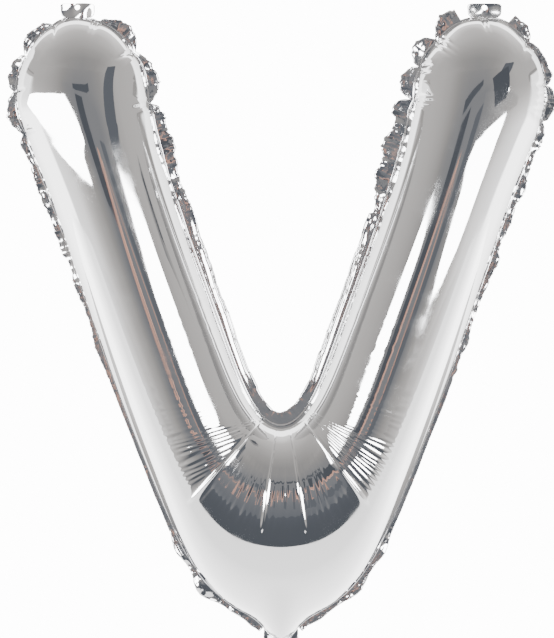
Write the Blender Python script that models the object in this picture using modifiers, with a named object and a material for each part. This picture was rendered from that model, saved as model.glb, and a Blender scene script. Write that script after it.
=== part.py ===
"""A silver foil balloon in the shape of the letter V, blown up and hung by its two tabs.

Two foil sheets are welded together round the letter's outline. Outside the weld they leave a flat
margin, a hanging tab on each arm's top, and at the foot an inflation tail with a plastic valve film
in it. Metres, +Z up, the front faces -Y. The origin is midway between the holes of the two tabs.
"""

import math

import bmesh
import bpy
from mathutils import Vector

# Walls that stand in for foil and film, which are far thinner, and the clearances between them
SHEET = 0.0010
MARGIN_SHEET = 0.0008  # the two sheets fused together outside the weld
RIM = 0.0009  # how far each sheet's edge lies from the balloon's middle plane
LAP = 0.0020  # how far the margin reaches in under the sheets' edges
GAP = 0.0003  # what pieces that touch keep between them

# One section across the left arm in each row, from its tip to the letter's middle: where it meets
# the weld on the outer side and on the inner side, how far the sheet stands out between them, the
# share of the way out from the inner side where it does so, and how much its outer side sags.
SECTIONS = [
    # outer_x, outer_z, inner_x, inner_z, depth, crest, sag
    (-0.1187, -0.0065, -0.1187, -0.0065, 0.0000, 0.50, 0.00),
    (-0.1328, -0.0103, -0.1042, -0.0094, 0.0136, 0.50, 0.00),
    (-0.1457, -0.0229, -0.0915, -0.0184, 0.0250, 0.50, 0.00),
    (-0.1526, -0.0375, -0.0830, -0.0300, 0.0325, 0.50, 0.00),
    (-0.1543, -0.0550, -0.0793, -0.0415, 0.0350, 0.50, 0.00),
    (-0.1455, -0.0832, -0.0745, -0.0648, 0.0350, 0.50, 0.00),
    (-0.1344, -0.1123, -0.0684, -0.0883, 0.0350, 0.50, 0.00),
    (-0.1140, -0.1706, -0.0494, -0.1466, 0.0345, 0.50, 0.00),
    (-0.0977, -0.2173, -0.0324, -0.1933, 0.0345, 0.50, 0.00),
    (-0.0845, -0.2520, -0.0222, -0.2222, 0.0350, 0.50, 0.00),
    (-0.0703, -0.2872, -0.0126, -0.2370, 0.0355, 0.50, 0.00),
    (-0.0545, -0.3222, -0.0062, -0.2422, 0.0360, 0.46, 0.05),
    (-0.0364, -0.3455, -0.0026, -0.2434, 0.0365, 0.42, 0.12),
    (-0.0172, -0.3562, -0.0010, -0.2436, 0.0370, 0.39, 0.18),
    (-0.0000, -0.3592, -0.0000, -0.2436, 0.0370, 0.38, 0.20),
]
LAST_SECTION = len(SECTIONS) - 1
ROWS_BETWEEN = 4  # rows of faces from one section to the next
ACROSS = 14  # faces across a section
CREASES = [
    # folds that stand out and fan down from the crotch: section number, height
    (10.36, 0.0012),
    (12.85, 0.0010),
]
CREASE_WIDTH = 0.15  # in sections
CREASE_ROWS = (-0.24, -0.12, 0.0, 0.12, 0.24)  # rows of faces beside a crease, in sections
CREASE_CLEAR = 0.30  # no other rows nearer to a crease than this
CREASE_FROM = 0.050  # from here to there the creases fade, as far from the crotch
CREASE_TO = 0.075

# The margin's width by how far along the weld it is, from the tail over the tip to the crotch
MARGIN = [
    # share of the weld's length, width
    (0.00, 0.0062),
    (0.20, 0.0048),
    (0.45, 0.0052),
    (0.50, 0.0072),
    (0.70, 0.0072),
    (0.78, 0.0085),
    (1.00, 0.0080),
]
MARGIN_STEPS = 180
PUCKERS = [
    # share where they start, share where they end, how many, how far each pulls the margin in
    (0.485, 0.70, 9, 0.0018),
]

# The hanging tabs, on the arms' tops
TAB_WIDTH = 0.0200
TAB_TOP = 0.0025  # above the hole's centre
TAB_ROOT = 0.0017  # from the weld to the tab's lower edge
TAB_CORNER = 0.0025
TAB_SIDE = 0.0040  # free way beside a tab
TAB_SHEET = 0.0008
HOLE = 0.0030  # diameter

# The tail below the letter and the film in it
TAIL_WIDTH = 0.0300
TAIL_LENGTH = 0.0488
TAIL_WALL = 0.0006
CHANNEL_WIDTH = 0.0160
FILM = 0.0006
FILM_OUT = 0.0070  # how far the film shows below the tail

FOIL_COLOUR = (0.80, 0.81, 0.82, 1.0)
FILM_COLOUR = (0.90, 0.92, 0.93, 1.0)


def clear_scene():
    for obj in list(bpy.data.objects):
        bpy.data.objects.remove(obj)


def new_collection(name):
    collection = bpy.data.collections.new(name)
    bpy.context.scene.collection.children.link(collection)
    return collection


def material(name, colour, metallic, roughness):
    made = bpy.data.materials.new(name)
    made.use_nodes = True
    shader = made.node_tree.nodes["Principled BSDF"]
    shader.inputs["Base Color"].default_value = colour
    shader.inputs["Metallic"].default_value = metallic
    shader.inputs["Roughness"].default_value = roughness
    return made


def add_object(name, data, collection, finish):
    obj = bpy.data.objects.new(name, data)
    collection.objects.link(obj)
    data.materials.append(finish)
    return obj


def smooth_between(rows, at):
    """The values on the smooth curve through the rows of a table, at a row number with a fraction."""
    last = len(rows) - 1
    start = min(int(at), last - 1)
    share = at - start
    before = rows[max(start - 1, 0)]
    after = rows[min(start + 2, last)]
    values = []
    for a, b, c, d in zip(before, rows[start], rows[start + 1], after):
        bend = 2 * a - 5 * b + 4 * c - d
        twist = -a + 3 * b - 3 * c + d
        values.append(b + 0.5 * share * (c - a + share * (bend + share * twist)))
    return values


def straight_between(table, at):
    """A value between the rows of a table whose first column is the place."""
    for (place, value), (next_place, next_value) in zip(table, table[1:]):
        if at <= next_place:
            return value + (next_value - value) * (at - place) / (next_place - place)
    return table[-1][1]


def section(place):
    """The two ends of one section across the arm, and its depth, crest and sag."""
    outer_x, outer_z, inner_x, inner_z, depth, crest, sag = smooth_between(SECTIONS, place)
    return Vector((outer_x, 0.0, outer_z)), Vector((inner_x, 0.0, inner_z)), depth, crest, sag


def row_places():
    """The section numbers of all rows of faces: even ones, and closer ones beside each crease."""
    places = [row / ROWS_BETWEEN for row in range(LAST_SECTION * ROWS_BETWEEN + 1)]
    for crease_place, _ in CREASES:
        places = [place for place in places if abs(place - crease_place) > CREASE_CLEAR]
        places += [crease_place + offset for offset in CREASE_ROWS]
    return sorted(places)


def crease(place, turn, from_crotch):
    """How far the creases that fan down from the crotch stand out of the sheet."""
    fade = min(max((CREASE_TO - from_crotch) / (CREASE_TO - CREASE_FROM), 0.0), 1.0)
    lift = 0.0
    for crease_place, height in CREASES:
        off = (place - crease_place) / CREASE_WIDTH
        lift += height * math.exp(-off * off) * math.sin(turn) * fade
    return lift


def bulge(way_out, crest, sag):
    """The share of its depth to which a section stands out, at a share of the way from its inner
    end to its outer one. Both sides are quarters of an ellipse that meet at the crest."""
    if way_out < crest:
        return math.sqrt(1 - ((crest - way_out) / crest) ** 2)
    off = (way_out - crest) / (1 - crest)
    return math.sqrt(max(1 - off * off, 0.0)) * (1 - sag * off * off)


def sheet_point(place, column, side):
    """A point of the blown-up sheet. side is -1 for the front sheet and 1 for the back one."""
    outer, inner, depth, crest, sag = section(place)
    turn = math.pi * column / ACROSS
    way_out = (1 + math.cos(turn)) / 2
    point = inner.lerp(outer, way_out)
    from_crotch = (point - section(LAST_SECTION)[1]).length
    point.y = side * (RIM + depth * bulge(way_out, crest, sag) + crease(place, turn, from_crotch))
    return point


def mirrored_sheet(name, shape, thickness, offset, collection, finish):
    """The left half of a sheet given its right half and its wall."""
    mesh = bpy.data.meshes.new(name)
    shape.to_mesh(mesh)
    shape.free()
    obj = add_object(name, mesh, collection, finish)
    mirror = obj.modifiers.new("Right arm", "MIRROR")
    mirror.merge_threshold = 0.00005
    wall = obj.modifiers.new("Wall", "SOLIDIFY")
    wall.thickness = thickness
    wall.offset = offset
    return obj


def foil_sheet(name, side, collection, finish):
    """One of the two sheets, as a grid laid over the left arm and mirrored to the right one."""
    places = row_places()
    last_row = len(places) - 1
    shape = bmesh.new()
    bmesh.ops.create_grid(shape, x_segments=last_row, y_segments=ACROSS, size=1.0)
    for vertex in shape.verts:
        row = round((vertex.co.x + 1) / 2 * last_row)
        column = round((vertex.co.y + 1) / 2 * ACROSS)
        vertex.co = sheet_point(places[row], column, side)
    bmesh.ops.remove_doubles(shape, verts=shape.verts, dist=0.00001)
    if side > 0:
        bmesh.ops.reverse_faces(shape, faces=shape.faces)
    obj = mirrored_sheet(name, shape, SHEET, -1.0, collection, finish)
    obj.data.shade_smooth()
    return obj


def weld_line():
    """Points along the left half's weld, from the tail's edge over the arm's tip to the crotch."""
    places = row_places()
    outer = [section(place)[0] for place in reversed(places[1:])]
    inner = [section(place)[1] for place in places]
    start_x = -TAIL_WIDTH / 2 - GAP
    while outer[1].x > start_x:
        outer.pop(0)
    outer[0] = outer[0].lerp(outer[1], (outer[0].x - start_x) / (outer[0].x - outer[1].x))
    return outer + inner


def along(points, share):
    """The point at a share of a line's length, and the direction that points out of the letter."""
    if share == 1.0:
        return points[-1], Vector((0.0, 0.0, 1.0))
    lengths = [(b - a).length for a, b in zip(points, points[1:])]
    left = share * sum(lengths)
    for a, b, length in zip(points, points[1:], lengths):
        if left <= length:
            break
        left -= length
    ahead = (b - a).normalized()
    return a.lerp(b, left / length), Vector((-ahead.z, 0.0, ahead.x))


def margin_width(share, point):
    """How wide the margin is: narrow below a tab, and pulled in between its puckers."""
    tip_x, tip_z = SECTIONS[0][:2]
    if point.z > tip_z - TAB_WIDTH / 2 and abs(point.x - tip_x) < TAB_WIDTH / 2 + TAB_SIDE:
        return TAB_ROOT - GAP
    width = straight_between(MARGIN, share)
    for start, end, count, pull in PUCKERS:
        if start < share < end:
            lobe = math.sin(math.pi * count * (share - start) / (end - start))
            width -= pull * (1 - abs(lobe))
    return width


def welded_margin(collection, finish):
    """The strip outside the weld where the two sheets are fused, all round the letter."""
    line = weld_line()
    shape = bmesh.new()
    bmesh.ops.create_grid(shape, x_segments=MARGIN_STEPS, y_segments=1, size=1.0)
    for vertex in shape.verts:
        share = round((vertex.co.x + 1) / 2 * MARGIN_STEPS) / MARGIN_STEPS
        point, outwards = along(line, share)
        reach = margin_width(share, point) if vertex.co.y > 0 else -LAP
        vertex.co = point + outwards * reach
    return mirrored_sheet("welded_margin", shape, MARGIN_SHEET, 0.0, collection, finish)


def flat_plate(name, outlines, thickness, collection, finish):
    """A plate in the balloon's middle plane, from closed outlines of (x, z) points."""
    curve = bpy.data.curves.new(name, "CURVE")
    curve.dimensions = "2D"
    curve.fill_mode = "BOTH"
    curve.extrude = thickness / 2
    for outline in outlines:
        spline = curve.splines.new("POLY")
        spline.points.add(len(outline) - 1)
        for point, (x, z) in zip(spline.points, outline):
            point.co = (x, z, 0.0, 1.0)
        spline.use_cyclic_u = True
    obj = add_object(name, curve, collection, finish)
    obj.rotation_euler.x = math.pi / 2
    return obj


def arc(centre_x, centre_z, radius, start, end, steps):
    """Points on an arc from one angle to another, in degrees."""
    points = []
    for step in range(steps + 1):
        turn = math.radians(start + (end - start) * step / steps)
        points.append((centre_x + radius * math.cos(turn), centre_z + radius * math.sin(turn)))
    return points


def hanging_tab(name, side, collection, finish):
    """A tab on an arm's top, with a punched hole for a ribbon. Its foot follows the weld."""
    line = weld_line()
    tip_x = SECTIONS[0][0]
    foot = []
    for step in range(MARGIN_STEPS):
        point, outwards = along(line, step / MARGIN_STEPS)
        point = point + outwards * TAB_ROOT
        if point.z > SECTIONS[0][1] - TAB_WIDTH / 2 and abs(point.x - tip_x) < TAB_WIDTH / 2:
            foot.append((point.x, point.z))
    left_x = tip_x - TAB_WIDTH / 2
    right_x = tip_x + TAB_WIDTH / 2
    corner_z = TAB_TOP - TAB_CORNER
    right = arc(right_x - TAB_CORNER, corner_z, TAB_CORNER, 0, 90, 5)
    left = arc(left_x + TAB_CORNER, corner_z, TAB_CORNER, 90, 180, 5)
    hole = arc(tip_x, 0.0, HOLE / 2, 0, 345, 23)
    outlines = [[(left_x, foot[0][1])] + foot + [(right_x, foot[-1][1])] + right + left, hole]
    if side > 0:
        outlines = [[(-x, z) for x, z in reversed(outline)] for outline in outlines]
    return flat_plate(name, outlines, TAB_SHEET, collection, finish)


def inflation_tail(collection, cutters, finish):
    """The flat sleeve below the letter, with the filling channel all through it."""
    edge = TAIL_WIDTH / 2
    top = []
    for place in reversed(row_places()[1:]):
        outer = section(place)[0]
        if outer.x > -edge:
            top.append((outer.x, outer.z - GAP))
    shoulder_z = top[-1][1]
    bottom_z = top[0][1] - TAIL_LENGTH
    left = [(-edge, bottom_z), (-edge, shoulder_z)] + top[::-1]
    right = [(-x, z) for x, z in reversed(left) if x < 0]
    channel = FILM + 2 * GAP
    tail = flat_plate("tail_outline", [left + right], channel + 2 * TAIL_WALL, cutters, finish)
    bpy.context.view_layer.update()
    solid = bpy.data.meshes.new_from_object(tail.evaluated_get(bpy.context.evaluated_depsgraph_get()))
    solid.transform(tail.matrix_world)
    bpy.data.objects.remove(tail)
    shape = bmesh.new()
    shape.from_mesh(solid)
    bmesh.ops.remove_doubles(shape, verts=shape.verts, dist=0.00001)
    shape.to_mesh(solid)
    shape.free()
    obj = add_object("inflation_tail", solid, collection, finish)
    bpy.ops.mesh.primitive_cube_add(size=1.0, location=(0.0, 0.0, top[0][1] - TAIL_LENGTH / 2))
    cutter = bpy.context.object
    cutter.name = "filling_channel"
    cutter.scale = (CHANNEL_WIDTH, channel, TAIL_LENGTH * 1.5)
    cutter.display_type = "WIRE"
    cutter.hide_render = True
    for holder in list(cutter.users_collection):
        holder.objects.unlink(cutter)
    cutters.objects.link(cutter)
    cut = obj.modifiers.new("Filling channel", "BOOLEAN")
    cut.operation = "DIFFERENCE"
    cut.object = cutter
    return obj


def valve_film(collection, finish):
    """The flat plastic tube in the tail, which closes by itself when the filling straw comes out."""
    top = SECTIONS[-1][1] - GAP
    bottom = top - TAIL_LENGTH - FILM_OUT
    half = CHANNEL_WIDTH / 2 - GAP
    outline = [(-half, bottom), (half, bottom), (half, top), (-half, top)]
    return flat_plate("valve_film", [outline], FILM, collection, finish)


def build():
    clear_scene()
    collection = new_collection("letter_foil_balloon")
    cutters = new_collection("cutters")
    cutters.hide_render = True
    foil = material("silver_foil", FOIL_COLOUR, 1.0, 0.08)
    film = material("valve_plastic", FILM_COLOUR, 0.0, 0.25)
    foil_sheet("front_sheet", -1, collection, foil)
    foil_sheet("back_sheet", 1, collection, foil)
    welded_margin(collection, foil)
    hanging_tab("hanging_tab_left", -1, collection, foil)
    hanging_tab("hanging_tab_right", 1, collection, foil)
    inflation_tail(collection, cutters, foil)
    valve_film(collection, film)


build()
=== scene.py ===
import math

import bpy
import numpy as np
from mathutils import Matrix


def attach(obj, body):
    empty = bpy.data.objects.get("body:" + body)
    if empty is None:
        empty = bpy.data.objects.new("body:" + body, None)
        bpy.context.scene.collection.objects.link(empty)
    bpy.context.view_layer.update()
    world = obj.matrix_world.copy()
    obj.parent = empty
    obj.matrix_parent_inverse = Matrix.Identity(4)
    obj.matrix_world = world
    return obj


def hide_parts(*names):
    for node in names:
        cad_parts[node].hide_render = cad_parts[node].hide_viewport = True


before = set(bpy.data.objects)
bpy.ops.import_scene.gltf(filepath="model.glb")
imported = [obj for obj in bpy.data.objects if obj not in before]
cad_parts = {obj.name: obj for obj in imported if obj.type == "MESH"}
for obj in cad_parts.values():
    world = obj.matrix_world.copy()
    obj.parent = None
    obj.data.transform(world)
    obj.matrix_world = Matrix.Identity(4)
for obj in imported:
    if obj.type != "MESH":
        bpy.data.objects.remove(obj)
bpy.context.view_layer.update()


# The studio: a pale floor under the hanging balloon, white daylight all round, and the camera
# straight in front of the letter. Foil shows nothing but what stands round it, so a room with two
# soft boxes, a dark doorway and a grey ceiling stands behind the camera and is seen only in the foil.
PICTURE_HEIGHT = 0.3720  # what the picture takes in at the balloon's middle plane
CAMERA_AWAY = 1.80
CAMERA_X = -0.0023
CAMERA_Z = -0.1817
SENSOR_WIDTH = 36.0  # millimetres
FLOOR_Z = -0.95
FLOOR_SIZE = 9.0
FLOOR_COLOUR = (0.86, 0.85, 0.84, 1.0)
DAYLIGHT = 14.0

lens = bpy.data.cameras.new("photo_camera")
lens.sensor_width = SENSOR_WIDTH
lens.lens = SENSOR_WIDTH * CAMERA_AWAY / PICTURE_HEIGHT
camera = bpy.data.objects.new("photo_camera", lens)
bpy.context.scene.collection.objects.link(camera)
camera.location = (CAMERA_X, -CAMERA_AWAY, CAMERA_Z)
camera.rotation_euler = (math.pi / 2, 0.0, 0.0)
bpy.context.scene.camera = camera

world = bpy.data.worlds.new("studio_daylight")
world.use_nodes = True
world.node_tree.nodes["Background"].inputs["Color"].default_value = (1.0, 1.0, 1.0, 1.0)
world.node_tree.nodes["Background"].inputs["Strength"].default_value = DAYLIGHT
bpy.context.scene.world = world


def clear_selection():
    bpy.ops.object.select_all(action="DESELECT")


def name_it(obj, name):
    obj.name = name
    obj.data.name = name
    return obj


clear_selection()
bpy.ops.mesh.primitive_plane_add(size=FLOOR_SIZE, location=(0.0, 0.0, FLOOR_Z))
floor = name_it(bpy.context.object, "studio_floor")
paint = bpy.data.materials.new("floor_paper")
paint.use_nodes = True
shader = paint.node_tree.nodes["Principled BSDF"]
shader.inputs["Base Color"].default_value = FLOOR_COLOUR
shader.inputs["Roughness"].default_value = 0.9
floor.data.materials.append(paint)


def glowing(name, colour, strength):
    """A surface that shines by itself, in one colour or in the colours painted on its points."""
    glow = bpy.data.materials.new(name)
    glow.use_nodes = True
    nodes = glow.node_tree.nodes
    nodes.remove(nodes["Principled BSDF"])
    light = nodes.new("ShaderNodeEmission")
    light.inputs["Strength"].default_value = strength
    if colour is None:
        painted = nodes.new("ShaderNodeAttribute")
        painted.attribute_name = "tone"
        glow.node_tree.links.new(painted.outputs["Color"], light.inputs["Color"])
    else:
        light.inputs["Color"].default_value = (*colour, 1.0)
    glow.node_tree.links.new(light.outputs["Emission"], nodes["Material Output"].inputs["Surface"])
    return glow


def mirror_only(name, mesh):
    """Puts a piece of the room where the camera and the daylight don't meet it, only reflections do."""
    obj = bpy.data.objects.new(name, mesh)
    bpy.context.scene.collection.objects.link(obj)
    obj.visible_camera = False
    obj.visible_diffuse = False
    obj.visible_transmission = False
    obj.visible_shadow = False


def round_the_room(azimuth, height, distance):
    """A point of the room: azimuth 0 lies behind the camera, and 90 to the balloon's right."""
    turn = math.radians(azimuth)
    return distance * math.sin(turn), -distance * math.cos(turn), height


WALL_DISTANCE = 3.0
WALL_HEIGHTS = (-0.95, -0.55, -0.20, 0.20, 0.55, 0.75, 0.86, 0.90, 1.05, 1.60)
WALL_TONES = [
    # azimuth, then how bright the wall is at each of the heights above
    (-180, 0.22, 0.22, 0.24, 0.28, 0.32, 0.34, 0.36, 0.38, 0.44, 0.60),
    (-171, 0.26, 0.26, 0.30, 0.34, 0.38, 0.40, 0.42, 0.44, 0.50, 0.60),
    (-170, 0.14, 0.14, 0.16, 0.16, 0.18, 0.20, 0.22, 0.24, 0.50, 0.60),
    (-165, 0.14, 0.14, 0.16, 0.16, 0.18, 0.20, 0.22, 0.24, 0.50, 0.60),
    (-164, 0.40, 0.44, 0.48, 0.50, 0.52, 0.54, 0.56, 0.58, 0.60, 0.62),
    (-160, 0.60, 0.62, 0.64, 0.64, 0.64, 0.64, 0.64, 0.64, 0.64, 0.64),
    (-159, 3.60, 3.60, 3.60, 3.60, 3.60, 3.60, 3.60, 3.60, 2.40, 2.40),
    (-150, 3.00, 3.00, 2.60, 2.40, 2.40, 2.40, 2.40, 2.40, 2.40, 2.40),
    (-116, 4.50, 4.50, 4.00, 3.60, 3.40, 3.40, 3.20, 3.20, 3.20, 3.20),
    (-113, 4.50, 4.50, 3.20, 2.60, 2.20, 2.20, 2.20, 0.70, 0.62, 0.62),
    (-92, 4.50, 4.50, 2.80, 2.20, 2.20, 2.20, 2.20, 0.64, 0.60, 0.60),
    (-84, 4.50, 4.20, 2.00, 1.20, 0.80, 0.76, 0.64, 0.62, 0.60, 0.60),
    (-80, 1.70, 1.60, 1.20, 0.80, 0.66, 0.62, 0.60, 0.60, 0.60, 0.58),
    (-62, 1.50, 1.30, 0.95, 0.66, 0.58, 0.56, 0.55, 0.55, 0.55, 0.56),
    (-48, 0.85, 0.78, 0.70, 0.55, 0.50, 0.48, 0.48, 0.48, 0.48, 0.50),
    (-38, 0.55, 0.55, 0.52, 0.44, 0.40, 0.40, 0.40, 0.40, 0.40, 0.42),
    (-30, 0.42, 0.44, 0.42, 0.36, 0.32, 0.31, 0.31, 0.31, 0.33, 0.36),
    (-24, 0.30, 0.33, 0.35, 0.31, 0.28, 0.28, 0.28, 0.28, 0.30, 0.33),
    (-16, 0.19, 0.22, 0.27, 0.26, 0.26, 0.26, 0.26, 0.27, 0.28, 0.31),
    (-12, 0.17, 0.19, 0.21, 0.22, 0.23, 0.24, 0.24, 0.25, 0.27, 0.30),
    (0, 0.17, 0.20, 0.23, 0.25, 0.25, 0.25, 0.25, 0.25, 0.26, 0.30),
    (12, 0.17, 0.20, 0.25, 0.26, 0.25, 0.25, 0.25, 0.26, 0.28, 0.30),
    (18, 0.24, 0.28, 0.34, 0.31, 0.28, 0.28, 0.28, 0.28, 0.30, 0.32),
    (26, 0.36, 0.39, 0.42, 0.36, 0.32, 0.32, 0.32, 0.32, 0.33, 0.35),
    (38, 0.55, 0.55, 0.50, 0.42, 0.40, 0.42, 0.43, 0.43, 0.43, 0.44),
    (48, 0.90, 0.85, 0.68, 0.52, 0.50, 0.50, 0.50, 0.50, 0.50, 0.52),
    (58, 1.40, 1.25, 0.92, 0.66, 0.57, 0.56, 0.56, 0.56, 0.56, 0.56),
    (84, 1.80, 1.70, 1.20, 0.85, 0.66, 0.62, 0.62, 0.62, 0.60, 0.58),
    (88, 4.50, 4.20, 2.00, 1.20, 0.80, 0.76, 0.64, 0.62, 0.60, 0.60),
    (92, 4.50, 4.50, 2.80, 2.20, 2.20, 2.20, 2.20, 0.64, 0.60, 0.60),
    (113, 4.50, 4.50, 3.20, 2.60, 2.20, 2.20, 2.20, 0.70, 0.62, 0.62),
    (116, 4.50, 4.50, 4.00, 3.60, 3.40, 3.40, 3.20, 3.20, 3.20, 3.20),
    (148, 3.00, 3.00, 2.60, 2.40, 2.40, 2.40, 2.40, 2.40, 2.40, 2.40),
    (149, 0.60, 0.60, 0.56, 0.54, 0.54, 0.54, 0.56, 0.60, 0.62, 0.64),
    (162, 0.34, 0.34, 0.36, 0.40, 0.44, 0.46, 0.48, 0.50, 0.54, 0.60),
    (180, 0.22, 0.22, 0.24, 0.28, 0.32, 0.34, 0.36, 0.38, 0.44, 0.60),
]
WALL_STEP = 2  # degrees
TINTS = [
    # tone, its red and its blue as shares of it
    (0.12, 0.920, 1.150),
    (0.34, 1.045, 0.965),
    (0.70, 1.045, 0.965),
    (1.90, 1.010, 0.995),
]


def tinted(tone):
    """Dark things in the room are bluish, greys are warm and pale ones nearly white."""
    tones, reds, blues = np.array(TINTS).T
    return tone * np.interp(tone, tones, reds), tone, tone * np.interp(tone, tones, blues), 1.0


def painted_mesh(name, points, tones):
    """A grid of points, painted with a tone at each."""
    rows, columns = tones.shape
    faces = []
    for row in range(rows - 1):
        for column in range(columns - 1):
            corner = row * columns + column
            faces.append((corner, corner + 1, corner + columns + 1, corner + columns))
    mesh = bpy.data.meshes.new(name)
    mesh.from_pydata(points, [], faces)
    layer = mesh.color_attributes.new("tone", "FLOAT_COLOR", "POINT")
    layer.data.foreach_set("color", np.array([tinted(tone) for tone in tones.ravel()]).ravel())
    mesh.materials.append(glowing(name, None, 1.0))
    return mesh


wall_table = np.array(WALL_TONES)
wall_turns = np.arange(-180, 180 + WALL_STEP, WALL_STEP)
wall_columns = [np.interp(wall_turns, wall_table[:, 0], column) for column in wall_table[:, 1:].T]
wall_points = [round_the_room(turn, height, WALL_DISTANCE) for turn in wall_turns for height in WALL_HEIGHTS]
mirror_only("room_wall", painted_mesh("room_wall", wall_points, np.stack(wall_columns, axis=1)))

CARD_ASIDE = (0.0, 1.0, 1.5, 2.1, 3.0)  # metres to each side of the room's middle
CEILING_ROWS = [
    # y, how bright the ceiling is in the room's middle, and as a share of that at the distances above
    (3.0, 0.60, (1.0, 1.0, 1.0, 1.0, 1.0)),
    (1.42, 0.62, (1.0, 1.0, 1.0, 1.0, 1.0)),
    (1.40, 3.4, (1.0, 1.0, 1.0, 1.0, 1.0)),
    (0.62, 3.4, (1.0, 1.0, 1.0, 1.0, 1.0)),
    (0.58, 1.35, (1.0, 1.0, 0.90, 0.70, 0.50)),
    (0.26, 1.15, (1.0, 1.0, 0.90, 0.75, 0.54)),
    (-0.06, 0.74, (1.0, 1.0, 1.0, 0.90, 0.82)),
    (-0.66, 0.54, (1.0, 1.0, 1.0, 1.05, 1.05)),
    (-1.2, 0.41, (1.0, 1.05, 1.15, 1.30, 1.38)),
    (-1.9, 0.32, (1.0, 1.10, 1.25, 1.50, 1.70)),
    (-3.0, 0.30, (1.0, 1.10, 1.30, 1.55, 1.70)),
]
CEILING_Z = 1.60
CEILING_BOW = 0.18  # how much the rows behind the balloon curve away, per metre aside and metre aside
FLOOR_ROWS = [
    # as in the ceiling's table
    (3.0, 0.22, (1.0, 1.0, 2.0, 3.0, 4.0)),
    (1.22, 0.20, (1.0, 1.0, 3.0, 6.0, 9.0)),
    (1.20, 4.5, (1.0, 1.0, 1.1, 1.2, 1.3)),
    (0.5, 4.5, (1.0, 1.0, 1.1, 1.2, 1.3)),
    (0.1, 3.2, (1.0, 1.0, 1.1, 1.2, 1.3)),
    (-0.5, 1.9, (1.0, 1.0, 1.1, 1.2, 1.3)),
    (-0.99, 1.8, (1.0, 1.0, 1.1, 1.2, 1.3)),
    (-1.00, 0.105, (1.0, 1.0, 6.0, 13.0, 18.0)),
    (-1.6, 0.11, (1.0, 1.0, 4.0, 8.0, 12.0)),
    (-3.0, 0.13, (1.0, 1.0, 2.2, 4.0, 6.0)),
]
FLOOR_CARD_Z = -0.945


def level_card(name, rows, height, bow):
    """A level sheet of the room above or below the balloon, alike on both sides of the room's middle."""
    sides = [-aside for aside in CARD_ASIDE[:0:-1]] + list(CARD_ASIDE)
    points = [(x, y + bow * x * x * (y > 0), height) for y, _, _ in rows for x in sides]
    tones = np.array([[tone * share for share in shares[:0:-1] + shares] for _, tone, shares in rows])
    mirror_only(name, painted_mesh(name, points, tones))


level_card("room_ceiling", CEILING_ROWS, CEILING_Z, CEILING_BOW)
level_card("room_floor", FLOOR_ROWS, FLOOR_CARD_Z, 0.0)

LIT_PANELS = {
    # outlines from left to right: azimuth, lower edge, upper edge
    "soft_box_left": [
        (-93, -0.16, -0.14), (-88, -0.42, 0.17), (-80, -0.53, 0.20), (-67, -0.57, 0.25), (-58, -0.53, 0.30),
        (-44, -0.42, 0.40), (-35, -0.32, 0.46), (-32, -0.29, 0.50), (-29, -0.24, 0.52), (-28, -0.10, 0.48),
        (-24, 0.02, 0.39), (-20, 0.12, 0.28), (-19, 0.18, 0.23),
    ],
    "soft_box_right": [
        (14, 0.06, 0.10), (16, -0.02, 0.16), (19, -0.12, 0.24), (20, -0.24, 0.30), (22, -0.37, 0.38),
        (24, -0.44, 0.57), (30, -0.57, 0.62), (39, -0.66, 0.65), (45, -0.66, 0.64), (46, -0.66, 0.30),
        (48, -0.62, 0.00), (49, -0.56, -0.50),
    ],
}
DIM_PANELS = {
    # outlines as above, and how bright
    "picture_over_box": ([
        (21, 0.50, 0.56), (25, 0.57, 0.84), (29, 0.66, 1.00), (38, 0.80, 1.34), (45, 0.98, 1.59),
        (55, 1.28, 1.59), (62, 1.55, 1.59),
    ], 0.14),
    "door_pane": ([(-16, 0.76, 0.87), (-12, 0.76, 0.89), (3, 0.84, 0.98), (7, 0.90, 1.03)], 0.11),
    "door_bar": ([(-14, -0.10, 0.68), (-11, -0.10, 0.69), (-6, -0.10, 0.71), (-5, -0.10, 0.72)], 0.10),
    "door_edge": ([(5, -0.60, 0.50), (6, -0.60, 0.52), (11, -0.60, 0.56), (12, -0.60, 0.56)], 0.15),
    "window_frame_right": ([
        (84, 0.55, 0.79), (86, 0.55, 0.83), (89, 0.76, 0.88), (96, 0.80, 0.90), (102, 0.80, 0.91),
        (113, 0.80, 0.92),
    ], 0.38),
    "window_frame_left": ([(-113, 0.87, 0.92), (-95, 0.87, 0.92), (-87, 0.84, 0.90)], 0.40),
}
BROWN_POSTS = [
    # azimuth at its foot, at its head, width in degrees, foot, head, how bright
    (-13.0, -7.0, 2.6, -0.40, -0.06, 0.95),
    (-9.6, -4.3, 0.8, -0.44, -0.02, 1.50),
    (-7.0, -2.6, 2.1, -0.06, 0.34, 0.95),
    (-4.4, -0.9, 0.7, -0.04, 0.28, 1.50),
    (4.5, 1.5, 1.2, -0.30, 0.00, 0.85),
    (1.5, 0.0, 1.0, 0.00, 0.20, 0.85),
]
POST_COLOUR = (0.80, 0.44, 0.33)
SOFT_BOX_DISTANCE = 2.6
POST_DISTANCE = 2.5
SOFT_BOX_GLOW = 14.0
PANEL_STEP = 0.5  # degrees


def panel(name, outline, distance, colour, strength):
    """A panel that stands round the balloon, from its lower and upper edges."""
    edges = np.array(outline)
    turns = np.arange(edges[0, 0], edges[-1, 0] + PANEL_STEP / 2, PANEL_STEP)
    lower = np.interp(turns, edges[:, 0], edges[:, 1])
    upper = np.interp(turns, edges[:, 0], edges[:, 2])
    points = [round_the_room(*place, distance) for place in zip(turns, lower)]
    points += [round_the_room(*place, distance) for place in zip(turns, upper)]
    count = len(turns)
    mesh = bpy.data.meshes.new(name)
    mesh.from_pydata(points, [], [(i, i + 1, count + i + 1, count + i) for i in range(count - 1)])
    mesh.materials.append(glowing(name, colour, strength))
    mirror_only(name, mesh)


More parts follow.
